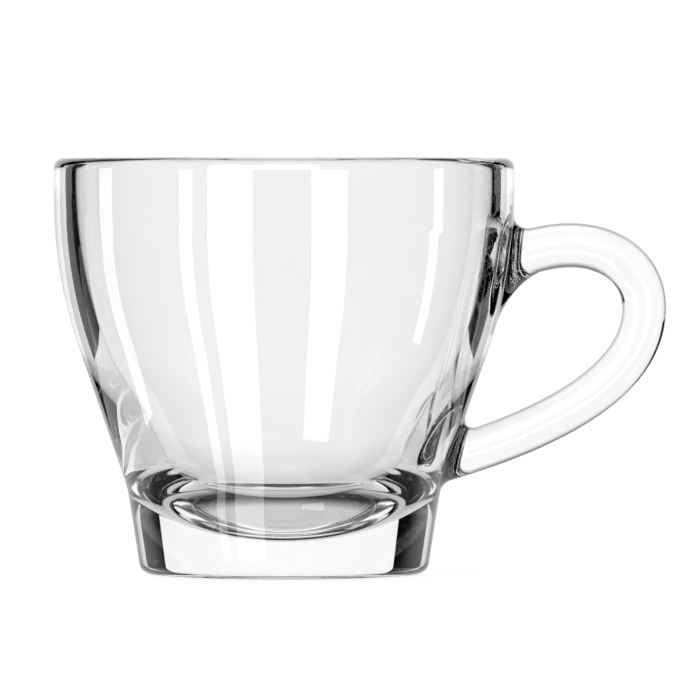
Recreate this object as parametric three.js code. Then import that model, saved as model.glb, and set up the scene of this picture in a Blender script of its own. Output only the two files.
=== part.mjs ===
// A cappuccino cup in clear glass: a thick-walled bowl, a heavy foot fused under it and a loop
// handle fused to its side. Millimetres, +Z up. The origin is the middle of the flat underside,
// and the handle points along +X.
import * as THREE from "three";

// Outside of the bowl and the foot
const HEIGHT = 73; // underside of the foot to the top of the lip
const RIM_RADIUS = 40.5; // outside of the straight wall below the lip
const SHOULDER_DROP = 20.75; // lip down to where the straight and the tapered wall would meet
const SHOULDER_CURVE = 80; // radius between the straight and the tapered wall
const WAIST_HEIGHT = 15; // where the tapered wall would meet the foot's side
const WAIST_RADIUS = 27.6;
const WAIST_CURVE = 22; // hollow radius round the waist
const FOOT_RADIUS = 25.25; // the foot's side carried down to the underside
const FOOT_EDGE = 2; // rounding between the foot's side and its underside

// Inside of the bowl
const WALL = 3.8; // thickness of the straight wall
const LIP_OUTER = 1.7; // roundings of the lip
const LIP_INNER = 2;
const INSIDE_DROP = 24.5; // lip down to where the straight and the tapered inside would meet
const INSIDE_CURVE = 80; // radius between the straight and the tapered inside
const BOWL_FLOOR = 3.6; // glass of the bowl under the lowest point of its inside
const WELL_RADIUS = 14.8; // where the tapered inside would meet the level of its lowest point
const WELL_CURVE = 24.5; // radius of the round floor

// Joint between the bowl and the foot: the bowl's round bottom lies in a shallow dish
const FOOT_HEIGHT = 12.5; // outer edge of the dish above the underside
const FOOT_CENTRE = 3.3; // glass of the foot under the middle of the dish
const FUSE_GAP = 0.3; // left between fused pieces

// Handle
const UPPER_ROOT_DROP = 17.8; // lip down to the middle of the upper root
const UPPER_ROOT_ANGLE = THREE.MathUtils.degToRad(24); // rise of the bar as it leaves the wall
const LOWER_ROOT_RISE = 5.2; // waist up to the middle of the lower root
const LOWER_ROOT_ANGLE = THREE.MathUtils.degToRad(17); // rise of the bar as it leaves the wall
const HANDLE_REACH = 22.9; // rim out to the furthest point of the bar's centre line
const HANDLE_REACH_DROP = 26.4; // lip down to that point
const UPPER_ROOT_PULL = 0.55; // fullness of the two bends, as shares of their straight spans
const UPPER_REACH_PULL = 0.38;
const LOWER_REACH_PULL = 0.3;
const LOWER_ROOT_PULL = 0.42;
const BAR_WIDTH_UPPER = 7.95; // across the bar in the plane of the loop, at each root
const BAR_WIDTH_LOWER = 7.55;
const BAR_DEPTH = 9; // across the bar, square to the loop
const BAR_SQUARENESS = 2.4; // 2 is an oval section, more is squarer
const UPPER_FILLET_OUTER = 3.5; // flare of the roots, on the outer and inner side of the loop
const UPPER_FILLET_INNER = 7;
const LOWER_FILLET_OUTER = 1.4;
const LOWER_FILLET_INNER = 3.4;
const SIDE_FILLET = 3;
const ROOT_EDGE = 0.3; // thickness at the very edge of a flared root

// Fineness of the surfaces
const ROUND_STEPS = 60;
const ARC_STEPS = 6;
const BAR_SIDES = 28;
const BAR_STEPS = 30;
const FILLET_STEPS = 6;
const ROOT_RINGS = 3;
const HALVINGS = 40; // steps of the search for where a line of the bar meets the wall

const FILLET_TENSION = 0.5523; // makes a cubic curve follow a quarter circle
const UP = new THREE.Vector3(0, 0, 1);

// A line of [radius, height, rounding] corners, with each rounding a tangent arc. Where two
// roundings would overlap on the stretch between them, both are eased to fit it.
function roundedOutline(corners) {
  const points = corners.map(([radius, height]) => new THREE.Vector2(radius, height));
  const last = corners.length - 1;
  const toNeighbour = (i, step) => points[i + step].clone().sub(points[i]);
  const halfAngle = (i) => toNeighbour(i, -1).angleTo(toNeighbour(i, 1)) / 2;
  const wanted = corners.map(([, , rounding], i) => (rounding ? rounding / Math.tan(halfAngle(i)) : 0));
  const ease = (i) => Math.min(1, points[i].distanceTo(points[i + 1]) / (wanted[i] + wanted[i + 1]));
  return points.flatMap((corner, i) => {
    if (i === 0 || i === last || wanted[i] === 0) return [corner];
    const reach = wanted[i] * Math.min(ease(i - 1), ease(i));
    const back = toNeighbour(i, -1).setLength(reach);
    const ahead = toNeighbour(i, 1).setLength(reach);
    const radius = reach * Math.tan(halfAngle(i));
    const centre = back.clone().add(ahead).setLength(reach / Math.cos(halfAngle(i)));
    const start = back.clone().sub(centre).angle();
    const end = ahead.clone().sub(centre).angle();
    const clockwise = back.cross(ahead) > 0;
    centre.add(corner);
    const arc = new THREE.EllipseCurve(centre.x, centre.y, radius, radius, start, end, clockwise);
    return arc.getPoints(ARC_STEPS);
  });
}

const insideRadius = RIM_RADIUS - WALL;
const floorHeight = FOOT_CENTRE + FUSE_GAP + BOWL_FLOOR;
const crown = [RIM_RADIUS - (WALL * LIP_OUTER) / (LIP_OUTER + LIP_INNER), HEIGHT];

const inside = roundedOutline([
  [0, floorHeight],
  [WELL_RADIUS, floorHeight, WELL_CURVE],
  [insideRadius, HEIGHT - INSIDE_DROP, INSIDE_CURVE],
  [insideRadius, HEIGHT, LIP_INNER],
  crown,
]);

const outside = roundedOutline([
  crown,
  [RIM_RADIUS, HEIGHT, LIP_OUTER],
  [RIM_RADIUS, HEIGHT - SHOULDER_DROP, SHOULDER_CURVE],
  [WAIST_RADIUS, WAIST_HEIGHT, WAIST_CURVE],
  [FOOT_RADIUS, 0, FOOT_EDGE],
  [0, 0],
]);

// Radius of the cup's outside at a height
function outsideRadius(height) {
  const next = outside.findIndex((point) => point.y <= height);
  if (next <= 0) return outside.at(next).x;
  const upper = outside[next - 1];
  const lower = outside[next];
  return THREE.MathUtils.mapLinear(height, upper.y, lower.y, upper.x, lower.x);
}

// The joint's shallow dish, from its outer edge to its lowest point on the axis
function dish(edgeHeight, centreHeight) {
  const edgeRadius = outsideRadius(edgeHeight);
  const depth = edgeHeight - centreHeight;
  const radius = (edgeRadius ** 2 + depth ** 2) / (2 * depth);
  const down = -Math.PI / 2;
  const sweep = Math.asin(edgeRadius / radius);
  const arc = new THREE.EllipseCurve(0, centreHeight + radius, radius, radius, down + sweep, down, true);
  return [...arc.getPoints(ARC_STEPS).slice(0, -1), new THREE.Vector2(0, centreHeight)];
}

// A solid turned about +Z from a profile that starts and ends on the axis
function turned(profile) {
  return new THREE.LatheGeometry(profile, ROUND_STEPS).rotateX(Math.PI / 2);
}

function bowlGeometry() {
  const wall = outside.slice(1).filter((point) => point.y > FOOT_HEIGHT);
  return turned([...inside, ...wall, ...dish(FOOT_HEIGHT, FOOT_CENTRE + FUSE_GAP)].reverse());
}

function footGeometry() {
  const edgeHeight = FOOT_HEIGHT - FUSE_GAP;
  const side = outside.filter((point) => point.y < edgeHeight);
  return turned([...dish(edgeHeight, FOOT_CENTRE).reverse(), ...side].reverse());
}

// Centre line of the handle's bar, from the middle of the upper root to that of the lower one
function handlePath() {
  const onWall = (height) => new THREE.Vector3(outsideRadius(height), 0, height);
  const rising = (angle) => new THREE.Vector3(Math.cos(angle), 0, Math.sin(angle));
  const upper = onWall(HEIGHT - UPPER_ROOT_DROP);
  const lower = onWall(WAIST_HEIGHT + LOWER_ROOT_RISE);
  const furthest = new THREE.Vector3(RIM_RADIUS + HANDLE_REACH, 0, HEIGHT - HANDLE_REACH_DROP);
  const upperSpan = upper.distanceTo(furthest);
  const lowerSpan = lower.distanceTo(furthest);
  const path = new THREE.CurvePath();
  path.add(new THREE.CubicBezierCurve3(
    upper,
    upper.clone().addScaledVector(rising(UPPER_ROOT_ANGLE), UPPER_ROOT_PULL * upperSpan),
    furthest.clone().addScaledVector(UP, UPPER_REACH_PULL * upperSpan),
    furthest,
  ));
  path.add(new THREE.CubicBezierCurve3(
    furthest,
    furthest.clone().addScaledVector(UP, -LOWER_REACH_PULL * lowerSpan),
    lower.clone().addScaledVector(rising(LOWER_ROOT_ANGLE), LOWER_ROOT_PULL * lowerSpan),
    lower,
  ));
  return path;
}

const path = handlePath();
const pathLength = path.getLength();

// A point on the bar's skin, by its distance along the centre line from the upper root and its
// angle round the section from the outer side of the loop. Past the roots the bar runs straight on.
function barPoint(distance, angle) {
  const share = THREE.MathUtils.clamp(distance / pathLength, 0, 1);
  const along = path.getTangent(share);
  const centre = path.getPoint(share).addScaledVector(along, distance - share * pathLength);
  const squared = (value) => Math.sign(value) * Math.abs(value) ** (2 / BAR_SQUARENESS);
  const width = THREE.MathUtils.lerp(BAR_WIDTH_UPPER, BAR_WIDTH_LOWER, share);
  const outward = (squared(Math.cos(angle)) * width) / 2;
  const sideways = (squared(Math.sin(angle)) * BAR_DEPTH) / 2;
  return new THREE.Vector3(centre.x - along.z * outward, sideways, centre.z + along.x * outward);
}

// A point on the bowl's outside, clear of it by a given distance
function wallPoint(y, z, clearance) {
  return new THREE.Vector3(Math.sqrt((outsideRadius(z) + clearance) ** 2 - y ** 2), y, z);
}

// The two roots: where the bar starts, which way along the centre line leads off the wall, which
// way up the outer side of the loop is, and the flare on the outer and inner side
const UPPER_ROOT = {
  start: 0,
  way: 1,
  outerUp: 1,
  outerFillet: UPPER_FILLET_OUTER,
  innerFillet: UPPER_FILLET_INNER,
};
const LOWER_ROOT = {
  start: pathLength,
  way: -1,
  outerUp: -1,
  outerFillet: LOWER_FILLET_OUTER,
  innerFillet: LOWER_FILLET_INNER,
};

function fillet(root, angle) {
  const lean = Math.cos(angle);
  const end = lean > 0 ? root.outerFillet : root.innerFillet;
  return THREE.MathUtils.lerp(SIDE_FILLET, end, lean ** 2);
}

// Distance from the middle of a root, along the bar, at which one line of its skin meets the wall
function meeting(root, angle) {
  let buried = -RIM_RADIUS;
  let free = RIM_RADIUS;
  for (let halving = 0; halving < HALVINGS; halving += 1) {
    const middle = (buried + free) / 2;
    const point = barPoint(root.start + root.way * middle, angle);
    const clear = Math.hypot(point.x, point.y) > outsideRadius(point.z) + FUSE_GAP + ROOT_EDGE;
    if (clear) free = middle;
    else buried = middle;
  }
  return free;
}

// One line of a root at an angle round the bar: its neck on the bar, the corner that the flare
// rounds off, and the edge of the flare on the wall
function rootLine(root, angle) {
  const flare = fillet(root, angle);
  const distance = meeting(root, angle);
  const corner = barPoint(root.start + root.way * distance, angle);
  const neck = root.start + root.way * (distance + flare);
  const edge = {
    y: corner.y + flare * Math.sin(angle),
    z: corner.z + flare * Math.cos(angle) * root.outerUp,
  };
  return { corner, neck, edge };
}

// The rings of a root, from the middle of the face that lies on the wall out to the bar's neck
function rootRings(root, angles) {
  const lines = angles.map((angle) => rootLine(root, angle));
  const heights = lines.map((line) => line.edge.z);
  const middle = (Math.max(...heights) + Math.min(...heights)) / 2;
  const onWall = (line, share, clearance) =>
    wallPoint(line.edge.y * share, THREE.MathUtils.lerp(middle, line.edge.z, share), clearance);
  const face = Array.from({ length: ROOT_RINGS }, (_, ring) =>
    lines.map((line) => onWall(line, (ring + 1) / ROOT_RINGS, FUSE_GAP)));
  const flared = Array.from({ length: FILLET_STEPS }, (_, step) =>
    lines.map((line, side) => {
      const edge = onWall(line, 1, FUSE_GAP + ROOT_EDGE);
      const neck = barPoint(line.neck, angles[side]);
      return new THREE.CubicBezierCurve3(
        edge,
        edge.clone().lerp(line.corner, FILLET_TENSION),
        neck.clone().lerp(line.corner, FILLET_TENSION),
        neck,
      ).getPoint(step / FILLET_STEPS);
    }));
  return {
    pole: wallPoint(0, middle, FUSE_GAP),
    rings: [...face, ...flared],
    necks: lines.map((line) => line.neck),
  };
}

// A closed skin over rings of points that run from one pole to the other
function lofted(firstPole, rings, lastPole) {
  const sides = rings[0].length;
  const points = [firstPole, ...rings.flat(), lastPole];
  const at = (ring, side) => 1 + ring * sides + (side % sides);
  const triangles = [];
  for (let side = 0; side < sides; side += 1) {
    triangles.push([0, at(0, side), at(0, side + 1)]);
    for (let ring = 0; ring < rings.length - 1; ring += 1) {
      triangles.push([at(ring, side), at(ring + 1, side), at(ring, side + 1)]);
      triangles.push([at(ring + 1, side), at(ring + 1, side + 1), at(ring, side + 1)]);
    }
    triangles.push([points.length - 1, at(rings.length - 1, side + 1), at(rings.length - 1, side)]);
  }
  const geometry = new THREE.BufferGeometry().setFromPoints(points);
  geometry.setIndex(triangles.flat());
  geometry.computeVertexNormals();
  return geometry;
}

function handleGeometry() {
  const angles = Array.from({ length: BAR_SIDES }, (_, side) => (side / BAR_SIDES) * 2 * Math.PI);
  const upper = rootRings(UPPER_ROOT, angles);
  const lower = rootRings(LOWER_ROOT, angles);
  const bar = Array.from({ length: BAR_STEPS + 1 }, (_, step) =>
    angles.map((angle, side) =>
      barPoint(THREE.MathUtils.lerp(upper.necks[side], lower.necks[side], step / BAR_STEPS), angle)));
  return lofted(upper.pole, [...upper.rings, ...bar, ...lower.rings.reverse()], lower.pole);
}

function glassPiece(name, geometry) {
  const glass = new THREE.MeshStandardMaterial({
    color: 0xeff3f2,
    roughness: 0.03,
    metalness: 0,
    transparent: true,
    opacity: 0.35,
  });
  const piece = new THREE.Mesh(geometry, glass);
  piece.name = name;
  return piece;
}

const cup = new THREE.Group();
cup.add(
  glassPiece("bowl", bowlGeometry()),
  glassPiece("foot", footGeometry()),
  glassPiece("handle", handleGeometry()),
);

export default cup;
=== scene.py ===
"""A cappuccino cup in clear glass: bowl, foot and loop handle, dressed over the CAD frame."""
import logging
import math
from bisect import bisect_right
from dataclasses import dataclass, field
from enum import Enum, IntEnum
from functools import cached_property
from typing import Any, Callable, Iterable, Sequence

import bmesh
import bpy
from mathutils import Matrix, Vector


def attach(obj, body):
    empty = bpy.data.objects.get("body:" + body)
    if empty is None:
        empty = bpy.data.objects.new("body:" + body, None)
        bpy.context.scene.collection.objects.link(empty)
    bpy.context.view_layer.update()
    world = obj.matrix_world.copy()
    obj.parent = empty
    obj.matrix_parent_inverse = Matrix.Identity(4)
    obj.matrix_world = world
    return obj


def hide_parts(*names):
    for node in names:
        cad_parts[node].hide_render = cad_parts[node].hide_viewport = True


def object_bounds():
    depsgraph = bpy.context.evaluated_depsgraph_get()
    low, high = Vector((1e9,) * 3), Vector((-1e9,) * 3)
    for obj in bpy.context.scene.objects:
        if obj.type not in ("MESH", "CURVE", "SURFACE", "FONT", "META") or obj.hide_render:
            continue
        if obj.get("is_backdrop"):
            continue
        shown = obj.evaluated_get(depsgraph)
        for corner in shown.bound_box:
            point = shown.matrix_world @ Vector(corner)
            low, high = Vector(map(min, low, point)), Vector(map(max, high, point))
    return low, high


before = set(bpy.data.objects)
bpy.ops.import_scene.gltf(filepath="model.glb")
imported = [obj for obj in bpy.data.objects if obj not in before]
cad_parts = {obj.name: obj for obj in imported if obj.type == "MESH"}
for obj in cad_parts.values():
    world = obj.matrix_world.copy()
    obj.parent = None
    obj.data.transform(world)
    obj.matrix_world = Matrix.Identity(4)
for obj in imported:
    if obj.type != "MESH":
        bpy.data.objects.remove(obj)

LOG = logging.getLogger("cappuccino_cup")
CAD_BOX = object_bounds()
MM = 0.001
BODY = "root"
WHITE = (1.0, 1.0, 1.0, 1.0)
FULL_TURN = 2 * math.pi
WELD = 1e-6
TINY = 1e-9
UNDER_ONE = 0.5
Point2 = tuple[float, float]
Ring = list[Vector]
Socket = bpy.types.NodeSocket


class Surface(IntEnum):
    """The two kinds of face on a fused piece, in the order of its material slots."""

    SKIN = 0
    JOINT = 1


class Effect(Enum):
    """The shared glass effects, by the names of their node groups."""

    RIPPLE = "chill_ripple"
    POLISH = "fire_polish"
    MELT = "melt_tint"


class NodeSketch:
    """Adds nodes to one tree and joins them up."""

    def __init__(self, tree: bpy.types.NodeTree) -> None:
        """Starts with an empty tree."""
        self.tree = tree
        tree.nodes.clear()

    def add(self, kind: str, inputs: dict[Any, Any] | None = None, **settings: Any) -> bpy.types.Node:
        """Adds a node.

        Args:
            kind: The node's type name.
            inputs: Input names or numbers, each with an output socket or a plain value.
            **settings: Properties of the node.

        Returns:
            The new node.
        """
        node = self.tree.nodes.new(kind)
        for name, value in settings.items():
            setattr(node, name, value)
        for name, value in (inputs or {}).items():
            if isinstance(value, Socket):
                self.tree.links.new(value, node.inputs[name])
            else:
                node.inputs[name].default_value = value
        return node

    def out(self, kind: str, inputs: dict[Any, Any] | None = None, **settings: Any) -> Socket:
        """The first output of a new node."""
        return self.add(kind, inputs, **settings).outputs[0]

    def math(self, operation: str, *values: Any) -> Socket:
        """The result of a Math node on values in order."""
        return self.out("ShaderNodeMath", dict(enumerate(values)), operation=operation)

    def whole(self, operation: str, *values: Any) -> Socket:
        """The result of an Integer Math node on values in order."""
        return self.out("FunctionNodeIntegerMath", dict(enumerate(values)), operation=operation)

    def vector(self, operation: str, *values: Any) -> Socket:
        """The result of a Vector Math node on vectors in order."""
        return self.out("ShaderNodeVectorMath", dict(enumerate(values)), operation=operation)

    def scaled(self, vector: Any, factor: Any) -> Socket:
        """A vector times a factor."""
        return self.out("ShaderNodeVectorMath", {0: vector, "Scale": factor}, operation="SCALE")

    def xyz(self, x: Any, y: Any, z: Any) -> Socket:
        """A vector of three parts."""
        return self.out("ShaderNodeCombineXYZ", {0: x, 1: y, 2: z})

    def parts(self, vector: Any) -> Any:
        """The three parts of a vector, by name."""
        return self.add("ShaderNodeSeparateXYZ", {0: vector}).outputs

    def place(self) -> Socket:
        """The place on an object, in its own coordinates."""
        return self.add("ShaderNodeTexCoord").outputs["Object"]

    def path(self) -> Any:
        """What is known of the ray's path, by name."""
        return self.add("ShaderNodeLightPath").outputs

    def glow(self, strength: Any) -> Socket:
        """White light."""
        return self.out("ShaderNodeEmission", {"Color": WHITE, "Strength": strength})

    def eased(self, value: Any, span: Point2, low: Any, high: Any) -> Socket:
        """A smooth change from a low to a high value over a span of another."""
        inputs = {"Value": value, "From Min": span[0], "From Max": span[1], "To Min": low, "To Max": high}
        return self.out("ShaderNodeMapRange", inputs, interpolation_type="SMOOTHSTEP")


def new_material(name: str) -> tuple[bpy.types.Material, NodeSketch]:
    """Starts a material.

    Args:
        name: Its name.

    Returns:
        The material and the sketch of its empty tree.
    """
    material = bpy.data.materials.new(name)
    material.use_nodes = True
    return material, NodeSketch(material.node_tree)


def new_mesh(
    name: str, points: Iterable[Vector], faces: Sequence[Any], edges: Sequence[Any] = ()
) -> bpy.types.Mesh:
    """Makes a mesh.

    Args:
        name: Its name.
        points: Its points.
        faces: The point numbers of each face.
        edges: The point numbers of each loose edge.

    Returns:
        The mesh.
    """
    mesh = bpy.data.meshes.new(name)
    mesh.from_pydata([tuple(point) for point in points], list(edges), list(faces))
    return mesh


def put(name: str, data: bpy.types.ID) -> bpy.types.Object:
    """Puts a new object in the scene.

    Args:
        name: Its name.
        data: Its mesh, lamp or camera.

    Returns:
        The object.
    """
    thing = bpy.data.objects.new(name, data)
    bpy.context.scene.collection.objects.link(thing)
    return thing


def outwards(mesh: bpy.types.Mesh) -> None:
    """Turns a closed mesh's faces outwards, by the sign of the volume inside it.

    Args:
        mesh: The mesh.
    """
    mesh.calc_loop_triangles()
    volume = 0.0
    for triangle in mesh.loop_triangles:
        a, b, c = (mesh.vertices[i].co for i in triangle.vertices)
        volume += a.dot(b.cross(c))
    if volume < 0:
        mesh.flip_normals()


def rounded_outline(corners: Sequence[tuple[float, float, float]], step: float, turn: float) -> list[Point2]:
    """A line through corners, with each rounding a tangent arc.

    Args:
        corners: Radius, height and rounding of each corner.
        step: Longest stretch between two points.
        turn: Largest bend between two points of an arc.

    Returns:
        Radius and height of each point.
    """
    points = [Vector(corner[:2]) for corner in corners]
    last = len(points) - 1
    slack = 1e-6

    def half_angle(i: int) -> float:
        """Half the angle between the two stretches at a corner."""
        return (points[i - 1] - points[i]).angle(points[i + 1] - points[i]) / 2

    def reach(i: int) -> float:
        """Length that a corner's rounding takes of each stretch, before easing."""
        return corners[i][2] / math.tan(half_angle(i)) if 0 < i < last and corners[i][2] else 0.0

    reaches = [reach(i) for i in range(last + 1)]
    eases = [
        min(1.0, (points[i + 1] - points[i]).length / max(reaches[i] + reaches[i + 1], TINY))
        for i in range(last)
    ]
    line: list[Vector] = [points[0]]

    def run_to(end: Vector) -> None:
        """Carries the line straight on to a point.

        Args:
            end: The point.
        """
        start = line[-1]
        count = max(1, math.ceil((end - start).length / step - slack))
        line.extend(start.lerp(end, k / count) for k in range(1, count + 1))

    for i in range(1, last):
        corner = points[i]
        length = reaches[i] * min(eases[i - 1], eases[i])
        if length == 0:
            run_to(corner)
            continue
        back = (points[i - 1] - corner).normalized()
        ahead = (points[i + 1] - corner).normalized()
        half = half_angle(i)
        radius = length * math.tan(half)
        centre = corner + (back + ahead).normalized() * (length / math.cos(half))
        run_to(corner + back * length)
        first = corner + back * length - centre
        sweep = math.pi - 2 * half
        side = 1.0 if back.x * ahead.y - back.y * ahead.x < 0 else -1.0
        count = max(2, math.ceil(sweep / turn), math.ceil(sweep * radius / step))
        for k in range(1, count + 1):
            angle = side * sweep * k / count
            cos, sin = math.cos(angle), math.sin(angle)
            line.append(centre + Vector((first.x * cos - first.y * sin, first.x * sin + first.y * cos)))
    run_to(points[last])
    return [(max(point.x, 0.0), point.y) for point in line]


def slope_at(before: Vector, here: Vector, after: Vector) -> Vector:
    """Direction of a curve at one of its points, allowing for uneven spacing.

    Args:
        before: The point before.
        here: The point.
        after: The point after.

    Returns:
        A tangent, not of unit length.
    """
    near, far = here - before, after - here
    low, high = max(near.length, TINY), max(far.length, TINY)
    return far * (low / high) + near * (high / low)


def cubic(arc: Sequence[Vector], t: float) -> Vector:
    """The point at a share from 0 to 1 of a cubic curve with four control points."""
    s = 1 - t
    return arc[0] * s ** 3 + arc[1] * (3 * s * s * t) + arc[2] * (3 * s * t * t) + arc[3] * t ** 3


def zipped(points: Sequence[Vector], border: list[int], rim: list[int]) -> list[tuple[int, int, int]]:
    """Triangles between two closed rows of points that run round the same middle.

    Args:
        points: All points.
        border: The outer row.
        rim: The inner row.

    Returns:
        The triangles, as point numbers.
    """
    middle = sum((points[i] for i in rim), Vector()) / len(rim)
    tall = max(abs(points[i].z - middle.z) for i in rim)
    wide = max(abs(points[i].y) for i in rim)

    def bearing(i: int) -> float:
        """Angle of a point round the middle, in the rim's own proportions."""
        return math.atan2(points[i].y / wide, (points[i].z - middle.z) / tall) % FULL_TURN

    def turn_to(row: list[int], i: int) -> float:
        """Angle of the point after one of a row's points, counted on past a whole turn."""
        turns, after = divmod(i + 1, len(row))
        return bearing(row[after]) + FULL_TURN * turns if i < len(row) else math.inf

    outer, inner = sorted(border, key=bearing), sorted(rim, key=bearing)
    triangles: list[tuple[int, int, int]] = []
    i = j = 0
    while i < len(outer) or j < len(inner):
        here, across = outer[i % len(outer)], inner[j % len(inner)]
        if turn_to(outer, i) <= turn_to(inner, j):
            i += 1
            triangles.append((here, outer[i % len(outer)], across))
        else:
            j += 1
            triangles.append((here, inner[j % len(inner)], across))
    return triangles


@dataclass(frozen=True)
class CupForm:
    """The sizes that the fused pieces share, in millimetres as they are named in the CAD model."""

    height: float = 73.0
    rim_radius: float = 40.5
    shoulder_drop: float = 20.75
    shoulder_curve: float = 80.0
    waist_height: float = 15.0
    waist_radius: float = 27.6
    waist_curve: float = 22.0
    foot_radius: float = 25.25
    foot_edge: float = 2.0
    wall: float = 3.8
    lip_outer: float = 1.7
    lip_inner: float = 2.0
    inside_drop: float = 24.5
    inside_curve: float = 80.0
    floor_height: float = 7.2
    well_radius: float = 14.8
    well_curve: float = 24.5
    joint_height: float = 12.5
    joint_centre: float = 3.45
    columns: int = 288
    step: float = 0.9
    turn: float = math.radians(6)

    @cached_property
    def skin(self) -> list[Point2]:
        """The whole skin, from the middle of the inside to that of the underside.

        Returns:
            Radius and height of each row, in metres.
        """
        lip = self.wall * self.lip_outer / (self.lip_outer + self.lip_inner)
        crown = (self.rim_radius - lip, self.height, 0.0)
        bore = self.rim_radius - self.wall
        inside = rounded_outline([
            (0.0, self.floor_height, 0.0),
            (self.well_radius, self.floor_height, self.well_curve),
            (bore, self.height - self.inside_drop, self.inside_curve),
            (bore, self.height, self.lip_inner),
            crown,
        ], self.step, self.turn)
        outside = rounded_outline([
            crown,
            (self.rim_radius, self.height, self.lip_outer),
            (self.rim_radius, self.height - self.shoulder_drop, self.shoulder_curve),
            (self.waist_radius, self.waist_height, self.waist_curve),
            (self.foot_radius, 0.0, self.foot_edge),
            (0.0, 0.0, 0.0),
        ], self.step, self.turn)
        edge = next(i for i, (_, z) in enumerate(outside) if z <= self.joint_height)
        (r0, z0), (r1, z1) = outside[edge - 1], outside[edge]
        share = (z0 - self.joint_height) / (z0 - z1)
        outside.insert(edge, (r0 + (r1 - r0) * share, self.joint_height))
        return [(r * MM, z * MM) for r, z in inside + outside[1:]]

    @cached_property
    def crown_row(self) -> int:
        """The row at the top of the lip."""
        return max(range(len(self.skin)), key=lambda row: self.skin[row][1])

    @cached_property
    def joint_row(self) -> int:
        """The row where the bowl ends and the foot begins."""
        rows = range(self.crown_row, len(self.skin))
        return min(rows, key=lambda row: abs(self.skin[row][1] - self.joint_height * MM))

    @cached_property
    def normals(self) -> list[Point2]:
        """Outward direction at each row.

        Returns:
            The parts of each direction along the radius and the height.
        """
        points = [Vector(point) for point in self.skin]
        result = [(0.0, 1.0)]
        for before, here, after in zip(points, points[1:], points[2:]):
            along = slope_at(before, here, after).normalized()
            result.append((-along.y, along.x))
        return result + [(0.0, -1.0)]

    @cached_property
    def dish(self) -> list[Point2]:
        """The joint between the bowl and the foot, from its edge to its lowest point.

        Returns:
            Radius and height of each point, in metres.
        """
        edge = self.skin[self.joint_row][0] / MM
        depth = self.joint_height - self.joint_centre
        radius = (edge ** 2 + depth ** 2) / (2 * depth)
        sweep = math.asin(edge / radius)
        count = math.ceil(edge / self.step)
        angles = [sweep * (1 - k / count) for k in range(count + 1)]
        return [
            (radius * math.sin(a) * MM, (self.joint_centre + radius * (1 - math.cos(a))) * MM)
            for a in angles
        ]

    def radius(self, z: float) -> float:
        """Radius of the outside at a height, in metres."""
        return self._between(z)[0]

    def _between(self, z: float) -> tuple[float, float, float]:
        """Radius and outward direction of the outside at a height.

        Args:
            z: Height in metres.

        Returns:
            Radius, and the parts of the direction along the radius and the height.
        """
        rows = self.skin
        row = self.crown_row
        while row < len(rows) - 2 and rows[row + 1][1] > z:
            row += 1
        span = rows[row][1] - rows[row + 1][1]
        share = min(1.0, max(0.0, (rows[row][1] - z) / span)) if span > TINY else 0.0
        radius = rows[row][0] + (rows[row + 1][0] - rows[row][0]) * share
        (r0, z0), (r1, z1) = self.normals[row], self.normals[row + 1]
        return radius, r0 + (r1 - r0) * share, z0 + (z1 - z0) * share

    def wall_point(self, y: float, z: float) -> Vector:
        """The point of the outside on its +X side, at a sideways place and a height in metres."""
        return Vector((math.sqrt(max(self.radius(z) ** 2 - y * y, 0.0)), y, z))

    def wall_normal(self, point: Vector) -> Vector:
        """Outward direction of the outside at one of its points.

        Args:
            point: The point.

        Returns:
            The unit direction.
        """
        _, out, up = self._between(point.z)
        across = math.hypot(point.x, point.y)
        return Vector((out * point.x / across, out * point.y / across, up)).normalized()

    def on_column(self, row: int, column: int) -> Vector:
        """The point of the skin on a row and a column.

        Args:
            row: The row.
            column: The column.

        Returns:
            The point.
        """
        radius, z = self.skin[row]
        angle = FULL_TURN * column / self.columns
        return Vector((radius * math.cos(angle), radius * math.sin(angle), z))


@dataclass(frozen=True)
class RootPatch:
    """The rows and columns of the bowl's skin that one root of the handle covers."""

    first_row: int
    last_row: int
    half_columns: int

    def covers(self, row: int, column: int, columns: int) -> bool:
        """Whether the cell after a row and a column lies in the patch, with so many columns in a turn."""
        around = (column + columns // 2) % columns - columns // 2
        return self.first_row <= row < self.last_row and -self.half_columns <= around < self.half_columns

    def border(self) -> list[tuple[int, int]]:
        """The patch's border, once round from its middle top.

        Returns:
            The row and the column of each point.
        """
        top, low, half = self.first_row, self.last_row, self.half_columns
        return (
            [(top, c) for c in range(0, half)]
            + [(r, half) for r in range(top, low)]
            + [(low, c) for c in range(half, -half, -1)]
            + [(r, -half) for r in range(low, top, -1)]
            + [(top, c) for c in range(-half, 0)]
        )


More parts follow.
